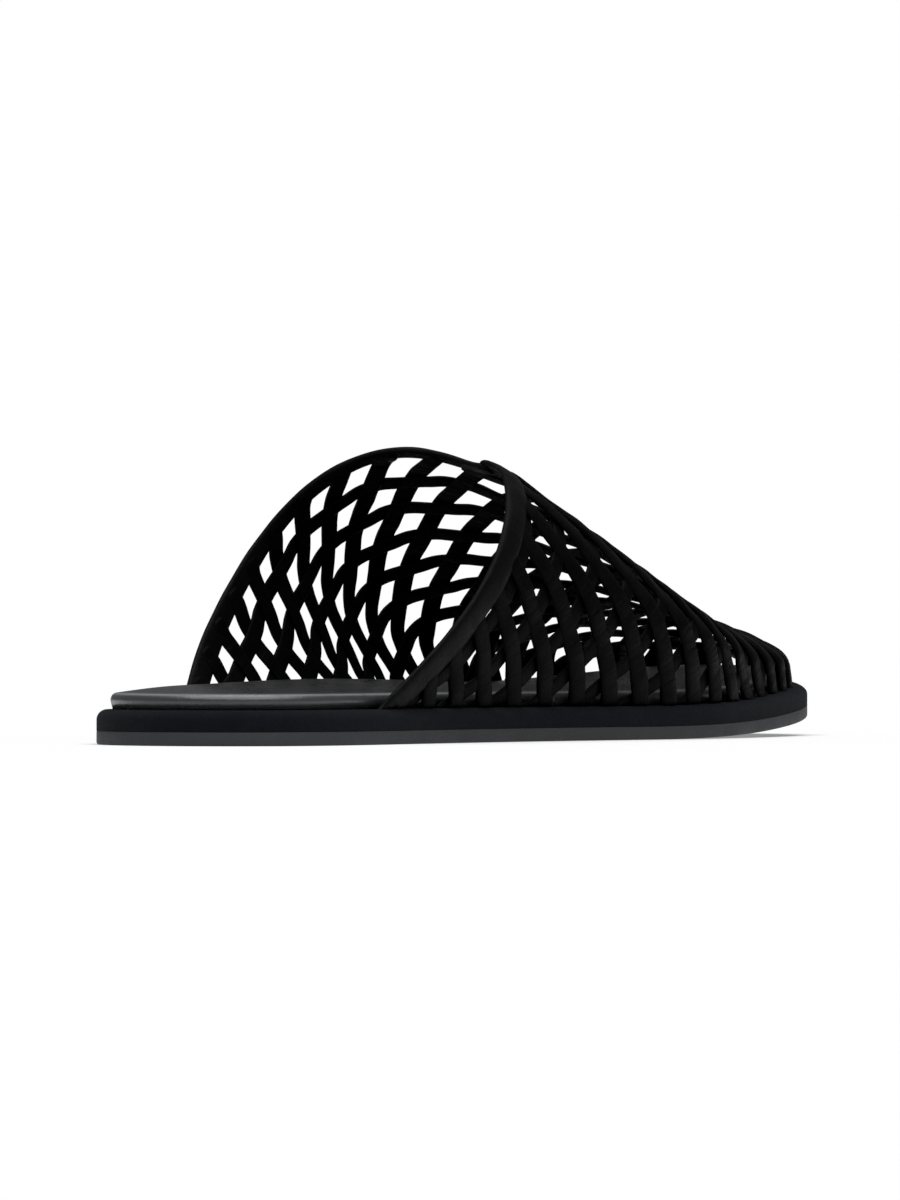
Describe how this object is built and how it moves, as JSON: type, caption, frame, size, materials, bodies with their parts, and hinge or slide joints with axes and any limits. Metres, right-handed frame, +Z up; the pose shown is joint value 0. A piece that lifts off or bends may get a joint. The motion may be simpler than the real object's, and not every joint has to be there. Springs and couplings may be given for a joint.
{
  "type": "woven leather mule",
  "caption": "Flat backless slip-on shoe: open woven leather straps with a folded collar band over a padded insole, a covered midsole and a thin rubber sole.",
  "frame": {"origin": "centre of the sole's outline from above, on the floor under the sole", "axes": "+X to the toe, +Y to the inner side of the right foot, +Z up"},
  "size_m": [0.258, 0.0917, 0.0718],
  "materials": {
    "sole_rubber": "matte grey-black rubber, finely scuffed",
    "midsole_suede": "matte navy-black suede with a short nap",
    "insole_leather": "smooth satin leather, padded, with a rolled edge",
    "strap_leather": "soft black leather straps, folded and creased",
    "band_leather": "soft black leather, folded over the collar's edge"
  },
  "bodies": {
    "root": {"outsole": "sole_rubber", "midsole": "midsole_suede", "insole": "insole_leather", "upper": "strap_leather", "collar_band": "band_leather"}
  },
  "joints": []
}
